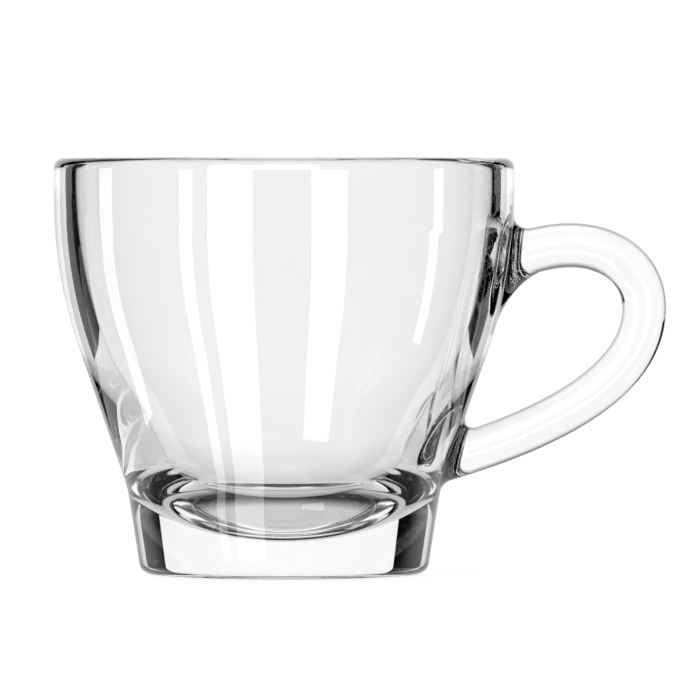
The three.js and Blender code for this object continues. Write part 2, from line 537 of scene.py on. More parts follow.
class GrowthTree:
    """A Geometry Nodes tree that grows a line into a welded glass mesh."""

    def __init__(self, name: str, sizes: dict[str, str]) -> None:
        """Starts the tree.

        Args:
            name: The tree's name.
            sizes: The kinds of its own inputs, by name.
        """
        self.tree = bpy.data.node_groups.new(name, "GeometryNodeTree")
        self.sketch = NodeSketch(self.tree)
        sockets = self.tree.interface
        for label, kind in {"Line": "Geometry", **sizes, "Weld": "Float", "Glass": "Material"}.items():
            sockets.new_socket(label, in_out="INPUT", socket_type="NodeSocket" + kind)
        sockets.new_socket("Mesh", in_out="OUTPUT", socket_type="NodeSocketGeometry")
        self.given = self.sketch.add("NodeGroupInput").outputs

    def end(self, grid: Socket, place: Socket, domain: str, marks: dict[str, Socket]) -> None:
        """Puts a grid's points in place, marks the shape, welds it and gives it its glass.

        Args:
            grid: The grid.
            place: Where each point goes.
            domain: What the marks lie on.
            marks: Whole numbers to keep, by name.
        """
        sketch, given = self.sketch, self.given
        shape = sketch.out("GeometryNodeSetPosition", {"Geometry": grid, "Position": place})
        for label, value in marks.items():
            inputs = {"Geometry": shape, "Name": label, "Value": value}
            shape = sketch.out("GeometryNodeStoreNamedAttribute", inputs, data_type="INT", domain=domain)
        shape = sketch.out("GeometryNodeMergeByDistance", {"Geometry": shape, "Distance": given["Weld"]})
        shape = sketch.out("GeometryNodeSetShadeSmooth", {"Geometry": shape})
        shape = sketch.out("GeometryNodeRealizeInstances", {"Geometry": shape})
        shape = sketch.out("GeometryNodeSetMaterial", {"Geometry": shape, "Material": given["Glass"]})
        sketch.add("NodeGroupOutput", {"Mesh": shape})

    def grown(self, name: str, line: Sequence[Vector], values: dict[str, Any]) -> bpy.types.Object:
        """Grows a line into a plain mesh object.

        Args:
            name: The object's name.
            line: The points of the line.
            values: The tree's inputs by name.

        Returns:
            The object, with the result as its mesh and no modifier.
        """
        mesh = new_mesh(f"{name}_line", line, [], [(i, i + 1) for i in range(len(line) - 1)])
        piece = put(name, mesh)
        modifier = piece.modifiers.new("growth", "NODES")
        modifier.node_group = self.tree
        values = {**values, "Weld": WELD}
        for item in self.tree.interface.items_tree:
            if item.in_out == "INPUT" and item.name in values:
                modifier[item.identifier] = values[item.name]
        bpy.context.view_layer.update()
        graph = bpy.context.evaluated_depsgraph_get()
        result = bpy.data.meshes.new_from_object(piece.evaluated_get(graph))
        piece.modifiers.clear()
        piece.data = result
        result.name = name
        bpy.data.meshes.remove(mesh)
        return piece


class TurnedTree(GrowthTree):
    """A tree that turns a profile in the XZ plane once round +Z."""

    def __init__(self, name: str) -> None:
        """Builds the tree.

        Args:
            name: The tree's name.
        """
        super().__init__(name, {"Columns": "Int"})
        sketch, given = self.sketch, self.given
        size = sketch.add("GeometryNodeAttributeDomainSize", {"Geometry": given["Line"]}, component="MESH")
        rows = size.outputs["Point Count"]
        columns = sketch.whole("ADD", given["Columns"], 1)
        grid = sketch.out("GeometryNodeMeshGrid", {"Vertices X": columns, "Vertices Y": rows})
        index = sketch.out("GeometryNodeInputIndex")
        profile = sketch.out("GeometryNodeSampleIndex", {
            "Geometry": given["Line"],
            "Value": sketch.out("GeometryNodeInputPosition"),
            "Index": sketch.whole("MODULO", index, rows),
        }, data_type="FLOAT_VECTOR", domain="POINT")
        parts = sketch.parts(profile)
        turn = sketch.math("DIVIDE", FULL_TURN, given["Columns"])
        angle = sketch.math("MULTIPLY", sketch.whole("DIVIDE_FLOOR", index, rows), turn)
        x, y = (sketch.math("MULTIPLY", parts["X"], sketch.math(wave, angle)) for wave in ("COSINE", "SINE"))
        cells = sketch.whole("SUBTRACT", rows, 1)
        self.end(grid, sketch.xyz(x, y, parts["Z"]), "FACE", {
            "row": sketch.whole("MODULO", index, cells),
            "column": sketch.whole("DIVIDE_FLOOR", index, cells),
        })


class BarTree(GrowthTree):
    """A tree that sweeps the handle's squarish oval section along its centre line."""

    def __init__(self, name: str) -> None:
        """Builds the tree.

        Args:
            name: The tree's name.
        """
        sizes = ("First width", "Last width", "Depth", "Squareness")
        super().__init__(name, {"Rings": "Int", "Sides": "Int", **dict.fromkeys(sizes, "Float")})
        sketch, given = self.sketch, self.given
        around = sketch.whole("ADD", given["Sides"], 1)
        grid = sketch.out("GeometryNodeMeshGrid", {"Vertices X": given["Rings"], "Vertices Y": around})
        index = sketch.out("GeometryNodeInputIndex")
        ring = sketch.whole("DIVIDE_FLOOR", index, around)
        side = sketch.whole("MODULO", index, around)
        share = sketch.math("DIVIDE", ring, sketch.math("SUBTRACT", given["Rings"], 1.0))
        curve = sketch.out("GeometryNodeMeshToCurve", {0: given["Line"]})
        inputs = {"Curves": curve, "Factor": share}
        line = sketch.add("GeometryNodeSampleCurve", inputs, mode="FACTOR").outputs
        sideways = sketch.xyz(0.0, 1.0, 0.0)
        outward = sketch.vector("CROSS_PRODUCT", line["Tangent"], sideways)
        angle = sketch.math("MULTIPLY", side, sketch.math("DIVIDE", FULL_TURN, given["Sides"]))
        power = sketch.math("DIVIDE", 2.0, given["Squareness"])

        def half_across(wave: str, size: Socket) -> Socket:
            """How far the skin lies along one side of the section.

            Args:
                wave: The wave that gives this side.
                size: The section's size along it.

            Returns:
                The distance.
            """
            value = sketch.math(wave, angle)
            pulled = sketch.math("POWER", sketch.math("ABSOLUTE", value), power)
            signed = sketch.math("MULTIPLY", sketch.math("SIGN", value), pulled)
            return sketch.math("MULTIPLY", signed, sketch.math("DIVIDE", size, 2.0))

        change = sketch.math("SUBTRACT", given["Last width"], given["First width"])
        width = sketch.math("MULTIPLY_ADD", share, change, given["First width"])
        out = sketch.scaled(outward, half_across("COSINE", width))
        deep = sketch.scaled(sideways, half_across("SINE", given["Depth"]))
        place = sketch.vector("ADD", line["Position"], sketch.vector("ADD", out, deep))
        marks = {"ring": ring, "side": sketch.whole("MODULO", side, given["Sides"])}
        self.end(grid, place, "POINT", marks)


class GlassEffects:
    """The node groups that the glass finishes share."""

    def __init__(self) -> None:
        """Builds the groups."""
        self.groups: dict[Effect, bpy.types.NodeTree] = {}
        self._ripple()
        self._polish()
        self._melt()

    def _start(
        self, effect: Effect, inputs: dict[str, float], output: str, kind: str = "Float"
    ) -> tuple[NodeSketch, Any, Socket]:
        """Starts a group.

        Args:
            effect: Which effect it is.
            inputs: Names and starting values of its inputs.
            output: Name of its output.
            kind: Kind of the output.

        Returns:
            The group's sketch, its input sockets and the place on the piece.
        """
        group = self.groups[effect] = bpy.data.node_groups.new(effect.value, "ShaderNodeTree")
        for name, value in inputs.items():
            socket = group.interface.new_socket(name, in_out="INPUT", socket_type="NodeSocketFloat")
            socket.default_value = value
        group.interface.new_socket(output, in_out="OUTPUT", socket_type="NodeSocket" + kind)
        sketch = NodeSketch(group)
        return sketch, sketch.add("NodeGroupInput").outputs, sketch.place()

    @staticmethod
    def _noise(sketch: NodeSketch, place: Socket, scale: Any, detail: float) -> Socket:
        """An even noise over the piece."""
        return sketch.out("ShaderNodeTexNoise", {"Vector": place, "Scale": scale, "Detail": detail})

    def _ripple(self, fine_scale: float = 6.0) -> None:
        """The height of the faint waviness that hot glass keeps from its mould.

        Args:
            fine_scale: How much finer the fine waves are than the broad ones.
        """
        inputs = {"Wave scale": 40.0, "Stretch": 0.35, "Fine share": 0.2}
        sketch, given, place = self._start(Effect.RIPPLE, inputs, "Height")
        drawn = sketch.vector("MULTIPLY", place, sketch.xyz(1.0, 1.0, given["Stretch"]))
        broad = self._noise(sketch, drawn, given["Wave scale"], detail=1.0)
        finer = sketch.math("MULTIPLY", given["Wave scale"], fine_scale)
        fine = self._noise(sketch, place, finer, detail=2.0)
        height = sketch.math("MULTIPLY_ADD", fine, given["Fine share"], broad)
        sketch.add("NodeGroupOutput", {"Height": height})

    def _polish(self, patches: Point2 = (0.55, 0.75)) -> None:
        """The slightly uneven roughness of a fired and handled surface.

        Args:
            patches: The noise where the worn patches start and are full.
        """
        inputs = {"Smooth": 0.0, "Worn": 0.02, "Patch scale": 70.0}
        sketch, given, place = self._start(Effect.POLISH, inputs, "Roughness")
        noise = self._noise(sketch, place, given["Patch scale"], detail=3.0)
        worn = sketch.eased(noise, patches, 0.0, 1.0)
        span = sketch.math("SUBTRACT", given["Worn"], given["Smooth"])
        sketch.add("NodeGroupOutput", {"Roughness": sketch.math("MULTIPLY_ADD", worn, span, given["Smooth"])})

    def _melt(self, losses: Sequence[float] = (1.0, 0.55, 0.65), lift: float = 0.5) -> None:
        """The faint tint of the melt, a little uneven through the glass.

        Args:
            losses: How much of the tint red, green and blue lose.
            lift: What brings the mean of the noise to one.
        """
        sketch, given, place = self._start(Effect.MELT, {"Tint": 0.02, "Cloud scale": 18.0}, "Color", "Color")
        cloud = self._noise(sketch, place, given["Cloud scale"], detail=2.0)
        tint = sketch.math("MULTIPLY", given["Tint"], sketch.math("ADD", cloud, lift))
        channels = [sketch.math("SUBTRACT", 1.0, sketch.math("MULTIPLY", tint, loss)) for loss in losses]
        colour = sketch.out("ShaderNodeCombineColor", dict(enumerate(channels)))
        sketch.add("NodeGroupOutput", {"Color": colour})


@dataclass(frozen=True)
class GlassFinish:
    """Clear fire-polished glass on one piece, with painted shade that darkens its colour at the edge where it
    turns away from the eye.
    """

    name: str
    ior: float = 1.52
    tint: float = 0.006
    worn: float = 0.012
    wave_scale: float = 40.0
    stretch: float = 0.35
    wave_height: float = 0.000002
    fine_share: float = 0.01
    # painted edge shade: over this span of facing the glass colour falls to the painted shade below
    edge: Point2 = (0.84, 0.95)
    painted_edge_shade: float = 0.15

    def make(self, effects: GlassEffects) -> bpy.types.Material:
        """Builds the material.

        Args:
            effects: The shared node groups.

        Returns:
            The material.
        """
        material, sketch = new_material(self.name)

        def effect(kind: Effect, values: dict[str, float]) -> Socket:
            """Places a shared group with this finish's values."""
            return sketch.out("ShaderNodeGroup", values, node_tree=effects.groups[kind])

        waves = {"Wave scale": self.wave_scale, "Stretch": self.stretch, "Fine share": self.fine_share}
        bump = sketch.out("ShaderNodeBump", {
            "Height": effect(Effect.RIPPLE, waves), "Strength": 1.0, "Distance": self.wave_height,
        })
        # painted shade: the glass colour darkens where the surface turns away from the eye, drawing dark
        # outlines
        facing = sketch.add("ShaderNodeLayerWeight").outputs["Facing"]
        shade = sketch.eased(facing, self.edge, 1.0, self.painted_edge_shade)
        shader = sketch.out("ShaderNodeBsdfPrincipled", {
            "Base Color": sketch.scaled(effect(Effect.MELT, {"Tint": self.tint}), shade),
            "Roughness": effect(Effect.POLISH, {"Worn": self.worn}),
            "Metallic": 0.0,
            "IOR": self.ior,
            "Transmission Weight": 1.0,
            "Normal": bump,
        })
        sketch.add("ShaderNodeOutputMaterial", {"Surface": shader})
        return material


@dataclass(frozen=True)
class JointFinish:
    """The inside of a fused joint, where glass runs on into glass and nothing shows."""

    name: str

    def make(self) -> bpy.types.Material:
        """Builds the material.

        Returns:
            The material.
        """
        material, sketch = new_material(self.name)
        shader = sketch.out("ShaderNodeBsdfPrincipled", {
            "Base Color": WHITE, "Roughness": 0.0, "Metallic": 0.0, "Alpha": 0.0,
        })
        sketch.add("ShaderNodeOutputMaterial", {"Surface": shader})
        return material


@dataclass
class CupPiece:
    """One fused piece of the cup."""

    form: CupForm
    node: str
    slot: str
    glass: bpy.types.Material
    joint: bpy.types.Material
    object: bpy.types.Object | None = field(default=None, init=False)

    @property
    def name(self) -> str:
        """The name of the piece's object."""
        return self.node + "_glass"

    def coat(self, mesh: bpy.types.Mesh) -> None:
        """Gives a mesh the two finishes, for its skin and its joints."""
        for finish in (self.glass, self.joint):
            mesh.materials.append(finish)

    @staticmethod
    def smooth(mesh: bpy.types.Mesh, skin: Callable[[int, int], Sequence[float]]) -> None:
        """Sets the direction at every corner: the skin's own, or the face's in a joint.

        Args:
            mesh: The piece's mesh.
            skin: Gives the skin's direction, from the numbers of a face and a point.
        """
        normals: list[Sequence[float]] = [(0.0, 0.0, 0.0)] * len(mesh.loops)
        for face in mesh.polygons:
            in_joint = face.material_index == Surface.JOINT
            for corner in face.loop_indices:
                point = mesh.loops[corner].vertex_index
                normals[corner] = face.normal[:] if in_joint else skin(face.index, point)
        mesh.normals_split_custom_set(normals)

    def dress(self) -> None:
        """Ties the piece to the frame."""
        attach(self.object, BODY)
        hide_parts(self.node)


@dataclass
class TurnedPiece(CupPiece):
    """A piece of the cup that is turned about the axis."""

    def profile(self) -> list[tuple[float, float, int | None]]:
        """Radius, height and skin row of each profile point, with no row inside the joint."""
        raise NotImplementedError

    def is_joint(self, row: int, column: int) -> bool:
        """Whether the cell after a profile row and a column lies in a joint."""
        raise NotImplementedError

    def build(self, tree: TurnedTree) -> None:
        """Turns the profile and parts the skin from the joint.

        Args:
            tree: The tree that turns it.
        """
        profile = self.profile()
        line = [Vector((radius, 0.0, z)) for radius, z, _ in profile]
        self.object = tree.grown(self.name, line, {"Columns": self.form.columns, "Glass": self.glass})
        mesh = self.object.data
        outwards(mesh)
        mesh.materials.clear()
        self.coat(mesh)
        rows, columns = ([item.value for item in mesh.attributes[name].data] for name in ("row", "column"))
        for face in mesh.polygons:
            in_joint = self.is_joint(rows[face.index], columns[face.index])
            face.material_index = Surface.JOINT if in_joint else Surface.SKIN
        self.smooth(mesh, lambda face, point: self._skin_normal(profile, rows[face], mesh.vertices[point].co))
        for name in ("row", "column"):
            mesh.attributes.remove(mesh.attributes[name])

    def _skin_normal(self, profile: Sequence[Any], row: int, place: Vector) -> Sequence[float]:
        """Outward direction of the skin at a corner of a cell.

        Args:
            profile: The piece's profile.
            row: The cell's first row.
            place: The corner.

        Returns:
            The direction.
        """
        across = math.hypot(place.x, place.y)
        ends = (profile[row], profile[row + 1])
        _, _, skin_row = min(ends, key=lambda end: math.hypot(end[0] - across, end[1] - place.z))
        out, up = self.form.normals[skin_row]
        if across < WELD:
            return (0.0, 0.0, up)
        return (out * place.x / across, out * place.y / across, up)


@dataclass
class Bowl(TurnedPiece):
    """The thick-walled bowl, with its inside, lip and outside."""

    patches: Sequence[RootPatch] = ()

    def profile(self) -> list[tuple[float, float, int | None]]:
        """The inside, the lip and the outside, closed by the joint's dish."""
        skin = [(r, z, row) for row, (r, z) in enumerate(self.form.skin[:self.form.joint_row + 1])]
        return skin + [(r, z, None) for r, z in self.form.dish[1:]]

    def is_joint(self, row: int, column: int) -> bool:
        """Whether a cell lies over the foot's joint or under a root of the handle."""
        covered = any(patch.covers(row, column, self.form.columns) for patch in self.patches)
        return covered or row >= self.form.joint_row


@dataclass
class Foot(TurnedPiece):
    """The heavy foot under the bowl."""

    def profile(self) -> list[tuple[float, float, int | None]]:
        """The joint's dish, then the foot's side and its underside."""
        skin = [(r, z, row) for row, (r, z) in enumerate(self.form.skin) if row >= self.form.joint_row]
        return [(r, z, None) for r, z in reversed(self.form.dish[1:])] + skin

    def is_joint(self, row: int, column: int) -> bool:
        """Whether a cell lies in the dish."""
        return row < len(self.form.dish) - 1


@dataclass(frozen=True)
class Root:
    """One end of the handle: where it starts, which way it leaves, and its flare, in metres."""

    start: float
    way: int
    outer_fillet: float
    inner_fillet: float
    side_fillet: float

    def flare(self, angle: float) -> float:
        """Length of the flare at an angle round the bar.

        Args:
            angle: The angle from the outer side of the loop.

        Returns:
            The length.
        """
        lean = math.cos(angle)
        end = self.outer_fillet if lean > 0 else self.inner_fillet
        return self.side_fillet + (end - self.side_fillet) * lean ** 2


@dataclass
class Handle(CupPiece):
    """The loop handle: a squarish bar whose two ends flare into the bowl's wall. Sizes are in millimetres."""

    upper_root_drop: float = 17.8
    upper_root_angle: float = math.radians(24)
    lower_root_rise: float = 5.2
    lower_root_angle: float = math.radians(17)
    reach: float = 22.86
    reach_drop: float = 26.4
    upper_root_pull: float = 0.55
    upper_reach_pull: float = 0.38
    lower_reach_pull: float = 0.3
    lower_root_pull: float = 0.42
    width_upper: float = 7.95
    width_lower: float = 7.55
    depth: float = 9.0
    squareness: float = 2.4
    upper_fillet_outer: float = 3.5
    upper_fillet_inner: float = 7.0
    lower_fillet_outer: float = 1.4
    lower_fillet_inner: float = 3.4
    side_fillet: float = 3.0
    tension: float = 0.5523
    sides: int = 96
    bar_rings: int = 110
    flare_rings: int = 14
    run_rings: int = 6
    apron_rings: int = 6
    patch_margin: float = 0.9
    line_points: int = 600
    search_depths: float = 3.0
    search_halvings: int = 40

    @cached_property
    def line(self) -> list[Vector]:
        """The centre line, from the upper to the lower root.

        Returns:
            Closely spaced points.
        """
        form = self.form

        def on_wall(height: float) -> Vector:
            """The point of the wall in the handle's plane, at a height in millimetres."""
            return form.wall_point(0.0, height * MM)

        def rising(angle: float) -> Vector:
            """A direction in the handle's plane."""
            return Vector((math.cos(angle), 0.0, math.sin(angle)))

        upper = on_wall(form.height - self.upper_root_drop)
        lower = on_wall(form.waist_height + self.lower_root_rise)
        furthest = Vector(((form.rim_radius + self.reach) * MM, 0.0, (form.height - self.reach_drop) * MM))
        up = Vector((0.0, 0.0, 1.0))
        upper_span = (upper - furthest).length
        lower_span = (lower - furthest).length
        arcs = (
            (
                upper,
                upper + rising(self.upper_root_angle) * self.upper_root_pull * upper_span,
                furthest + up * self.upper_reach_pull * upper_span,
                furthest,
            ),
            (
                furthest,
                furthest - up * self.lower_reach_pull * lower_span,
                lower + rising(self.lower_root_angle) * self.lower_root_pull * lower_span,
                lower,
            ),
        )
        points = [cubic(arcs[0], 0.0)]
        for arc in arcs:
            points += [cubic(arc, k / self.line_points) for k in range(1, self.line_points + 1)]
        return points

    @cached_property
    def distances(self) -> list[float]:
        """How far each centre-line point is from the upper root.

        Returns:
            The distances along the line.
        """
        total = [0.0]
        for before, after in zip(self.line, self.line[1:]):
            total.append(total[-1] + (after - before).length)
        return total

    def centre(self, distance: float) -> tuple[Vector, Vector]:
        """The centre line at a distance from the upper root, run straight on past its ends.

        Args:
            distance: The distance along the line.

        Returns:
            The point, and the unit direction there.
        """
        marks, points = self.distances, self.line
        inside = min(max(distance, 0.0), marks[-1])
        low = bisect_right(marks, inside, 0, len(marks) - 1) - 1
        share = (inside - marks[low]) / (marks[low + 1] - marks[low])

        def heading(i: int) -> Vector:
            """Direction of the line at one of its points."""
            return (points[min(i + 1, len(points) - 1)] - points[max(i - 1, 0)]).normalized()

        along = heading(low).lerp(heading(low + 1), share).normalized()
        return points[low].lerp(points[low + 1], share) + along * (distance - inside), along

    def width(self, distance: float) -> float:
        """Width of the bar at a distance from the upper root, in metres."""
        share = min(max(distance / self.distances[-1], 0.0), 1.0)
        return (self.width_upper + (self.width_lower - self.width_upper) * share) * MM

    def bar_point(self, distance: float, angle: float) -> Vector:
        """A point on the bar's skin.

        Args:
            distance: Distance along the centre line from the upper root.
            angle: Angle round the section from the outer side of the loop.

        Returns:
            The point.
        """
        centre, along = self.centre(distance)
        power = 2 / self.squareness
        cos, sin = math.cos(angle), math.sin(angle)
        out = math.copysign(abs(cos) ** power, cos) * self.width(distance) / 2
        side = math.copysign(abs(sin) ** power, sin) * self.depth * MM / 2
        return centre + Vector((-along.z * out, side, along.x * out))

    @cached_property
    def roots(self) -> tuple[Root, Root]:
        """The two roots.

        Returns:
            The upper and the lower one.
        """
        upper = (0.0, 1, self.upper_fillet_outer, self.upper_fillet_inner)
        lower = (self.distances[-1], -1, self.lower_fillet_outer, self.lower_fillet_inner)
        side = self.side_fillet * MM
        ends = (upper, lower)
        return tuple(Root(start, way, outer * MM, inner * MM, side) for start, way, outer, inner in ends)

    @cached_property
    def angles(self) -> list[float]:
        """The angles of the bar's sides."""
        return [FULL_TURN * k / self.sides for k in range(self.sides)]

    def root_line(self, root: Root, angle: float) -> tuple[Vector, Vector, float]:
        """One line of a root at an angle round the bar.

        Args:
            root: The root.
            angle: The angle.

        Returns:
            The flare's edge on the wall, the corner that it rounds off, and the neck's distance.
        """
        free = self.depth * self.search_depths * MM
        buried = -free
        for _ in range(self.search_halvings):
            middle = (buried + free) / 2
            point = self.bar_point(root.start + root.way * middle, angle)
            if math.hypot(point.x, point.y) > self.form.radius(point.z):
                free = middle
            else:
                buried = middle
        flare = root.flare(angle)
        corner = self.bar_point(root.start + root.way * free, angle)
        edge = self.form.wall_point(
            corner.y + flare * math.sin(angle), corner.z + flare * math.cos(angle) * root.way
        )
        return edge, corner, root.start + root.way * (free + flare)

    @cached_property
    def root_lines(self) -> dict[Root, list[tuple[Vector, Vector, float]]]:
        """The lines of both roots at every side."""
        return {root: [self.root_line(root, angle) for angle in self.angles] for root in self.roots}

    @cached_property
    def patches(self) -> dict[Root, RootPatch]:
        """The part of the bowl's skin that each root covers.

        Returns:
            The patches, by root.
        """
        form, margin = self.form, self.patch_margin * MM
        patches: dict[Root, RootPatch] = {}
        for root in self.roots:
            edges = [edge for edge, _, _ in self.root_lines[root]]
            top = max(edge.z for edge in edges) + margin
            low = min(edge.z for edge in edges) - margin
            rows = range(form.crown_row, form.joint_row)
            first = max(row for row in rows if form.skin[row][1] >= top)
            last = min(row for row in rows if form.skin[row][1] <= low)
            widest = max(math.atan2(abs(edge.y) + margin, edge.x) for edge in edges)
            patches[root] = RootPatch(first, last, math.ceil(widest * form.columns / FULL_TURN))
        return patches

    def apron_of(self, root: Root) -> list[Ring]:
        """The part of a root that lies on the wall, from near its patch's border to the flare's edge.

        Args:
            root: The root.

        Returns:
            The rings.
        """
        form, patch = self.form, self.patches[root]
        top, low = form.skin[patch.first_row][1], form.skin[patch.last_row][1]
        spread = FULL_TURN * patch.half_columns / form.columns
        edges = [edge for edge, _, _ in self.root_lines[root]]
        middle = (max(edge.z for edge in edges) + min(edge.z for edge in edges)) / 2
        rings: list[Ring] = [[] for _ in range(self.apron_rings)]
        for edge in edges:
            turn, rise = math.atan2(edge.y, edge.x), edge.z - middle
            limits = [spread / abs(turn) if abs(turn) > TINY else math.inf]
            if abs(rise) > TINY:
                limits.append(((top if rise > 0 else low) - middle) / rise)
            far = min(limits)
            for k, ring in enumerate(rings):
                reach = 1 + (far - 1) * (self.apron_rings - k) / (self.apron_rings + 1)
                z = middle + rise * reach
                radius = form.radius(z)
                ring.append(Vector((radius * math.cos(turn * reach), radius * math.sin(turn * reach), z)))
        return rings

    def flare_of(self, root: Root) -> list[Ring]:
        """The flare of a root, from its edge on the wall to just before its neck.

        Args:
            root: The root.

        Returns:
            The rings.
        """
        rings: list[Ring] = [[] for _ in range(self.flare_rings)]
        for angle, (edge, corner, neck) in zip(self.angles, self.root_lines[root]):
            end = self.bar_point(neck, angle)
            up = self.form.wall_normal(edge)
            lean = corner - edge
            lean = (lean - up * lean.dot(up)).normalized() * lean.length
            arc = (edge, edge + lean * self.tension, end.lerp(corner, self.tension), end)
            for k, ring in enumerate(rings):
                ring.append(cubic(arc, k / self.flare_rings))
        return rings

    def root_rings(self, root: Root, end: float) -> list[Ring]:
        """All rings of a root, from near its patch's border to the swept bar.

        Args:
            root: The root.
            end: The distance where the swept bar starts.

        Returns:
            The rings.
        """
        sides = [(angle, neck) for angle, (_, _, neck) in zip(self.angles, self.root_lines[root])]
        run = [
            [self.bar_point(neck + (end - neck) * k / self.run_rings, angle) for angle, neck in sides]
            for k in range(self.run_rings)
        ]
        return self.apron_of(root) + self.flare_of(root) + run

    def build(self, tree: BarTree) -> None:
        """Sweeps the bar, adds the two roots and closes them on the wall.

        Args:
            tree: The tree that sweeps the bar.
        """
        upper, lower = self.roots
        first = max(neck for _, _, neck in self.root_lines[upper]) + self.patch_margin * MM
        last = min(neck for _, _, neck in self.root_lines[lower]) - self.patch_margin * MM
        count = self.line_points
        line = [self.centre(first + (last - first) * k / count)[0] for k in range(count + 1)]
        self.object = tree.grown(self.name, line, {
            "Rings": self.bar_rings,
            "Sides": self.sides,
            "First width": self.width(first),
            "Last width": self.width(last),
            "Depth": self.depth * MM,
            "Squareness": self.squareness,
            "Glass": self.glass,
        })
        swept = self.object.data
        rings: list[Ring] = [[Vector()] * self.sides for _ in range(self.bar_rings)]
        ring, side = swept.attributes["ring"].data, swept.attributes["side"].data
        for vertex in swept.vertices:
            rings[ring[vertex.index].value][side[vertex.index].value] = vertex.co.copy()
        head, tail = self.root_rings(upper, first), self.root_rings(lower, last)
        self.object.data = self._closed(head + rings + tail[::-1])
        bpy.data.meshes.remove(swept)

    def _closed(self, skin: list[Ring]) -> bpy.types.Mesh:
        """Makes the handle's closed mesh from the rings of its skin.

        Args:
            skin: The rings, from the upper root's apron to the lower root's.

        Returns:
            The mesh.
        """
        sides = self.sides
        points: list[Vector] = [point for ring in skin for point in ring]
        normals = self._skin_normals(skin)
        faces: list[tuple[int, ...]] = []
        pairs = [(side, (side + 1) % sides) for side in range(sides)]
        for base in range(0, (len(skin) - 1) * sides, sides):
            above = base + sides
            faces += [(base + side, base + after, above + after, above + side) for side, after in pairs]
        joints: set[int] = set()
        for root, ring in zip(self.roots, (0, len(skin) - 1)):
            patch = self.patches[root]
            rows, half = range(patch.first_row, patch.last_row), patch.half_columns
            spots: dict[tuple[int, int], int] = {}
            for row in (*rows, patch.last_row):
                for column in range(-half, half + 1):
                    spots[row, column] = len(points)
                    points.append(self.form.on_column(row, column))
                    normals.append(self.form.wall_normal(points[-1]))
            for row in rows:
                for column in range(-half, half):
                    corners = ((row, column), (row, column + 1), (row + 1, column + 1), (row + 1, column))
                    joints.add(len(faces))
                    faces.append(tuple(spots[corner] for corner in corners))
            border = [spots[spot] for spot in patch.border()]
            faces += zipped(points, border, [ring * sides + side for side in range(sides)])
        mesh = new_mesh(self.name, points, faces)
        for face in mesh.polygons:
            face.material_index = Surface.JOINT if face.index in joints else Surface.SKIN
            face.use_smooth = True
        self._agree(mesh)
        outwards(mesh)
        self.coat(mesh)
        self.smooth(mesh, lambda face, point: tuple(normals[point]))
        return mesh

    @staticmethod
    def _agree(mesh: bpy.types.Mesh) -> None:
        """Turns every face of a closed mesh the same way round.

        Args:
            mesh: The mesh.
        """
        work = bmesh.new()
        work.from_mesh(mesh)
        bmesh.ops.recalc_face_normals(work, faces=work.faces)
        work.to_mesh(mesh)
        work.free()

    def _skin_normals(self, skin: list[Ring]) -> list[Vector]:
        """Outward direction at each point of the skin's rings.

        Args:
            skin: The rings.

        Returns:
            The directions, ring by ring.
        """
        normals: list[Vector] = []
        on_wall = self.apron_rings + 1
        for i, ring in enumerate(skin):
            for j, here in enumerate(ring):
                if i < on_wall or i >= len(skin) - on_wall:
                    normals.append(self.form.wall_normal(here))
                    continue
                along = slope_at(skin[i - 1][j], here, skin[i + 1][j])
                around = slope_at(ring[j - 1], here, ring[(j + 1) % self.sides])
                normals.append(around.cross(along).normalized())
        half = len(skin) // 2
        middle = sum(skin[half], Vector()) / self.sides
        if normals[half * self.sides].dot(skin[half][0] - middle) < 0:
            first, last = on_wall * self.sides, (len(skin) - on_wall) * self.sides
            normals[first:last] = [-normal for normal in normals[first:last]]
        return normals


class Seen(Enum):
    """Which rays a studio card shows itself to. The camera sees none of them."""

    OUTSIDE = "rays thrown back by the outer skin"
    REFLECTED = "rays that the glass reflected anywhere"
    ALL = "every ray that left the glass"


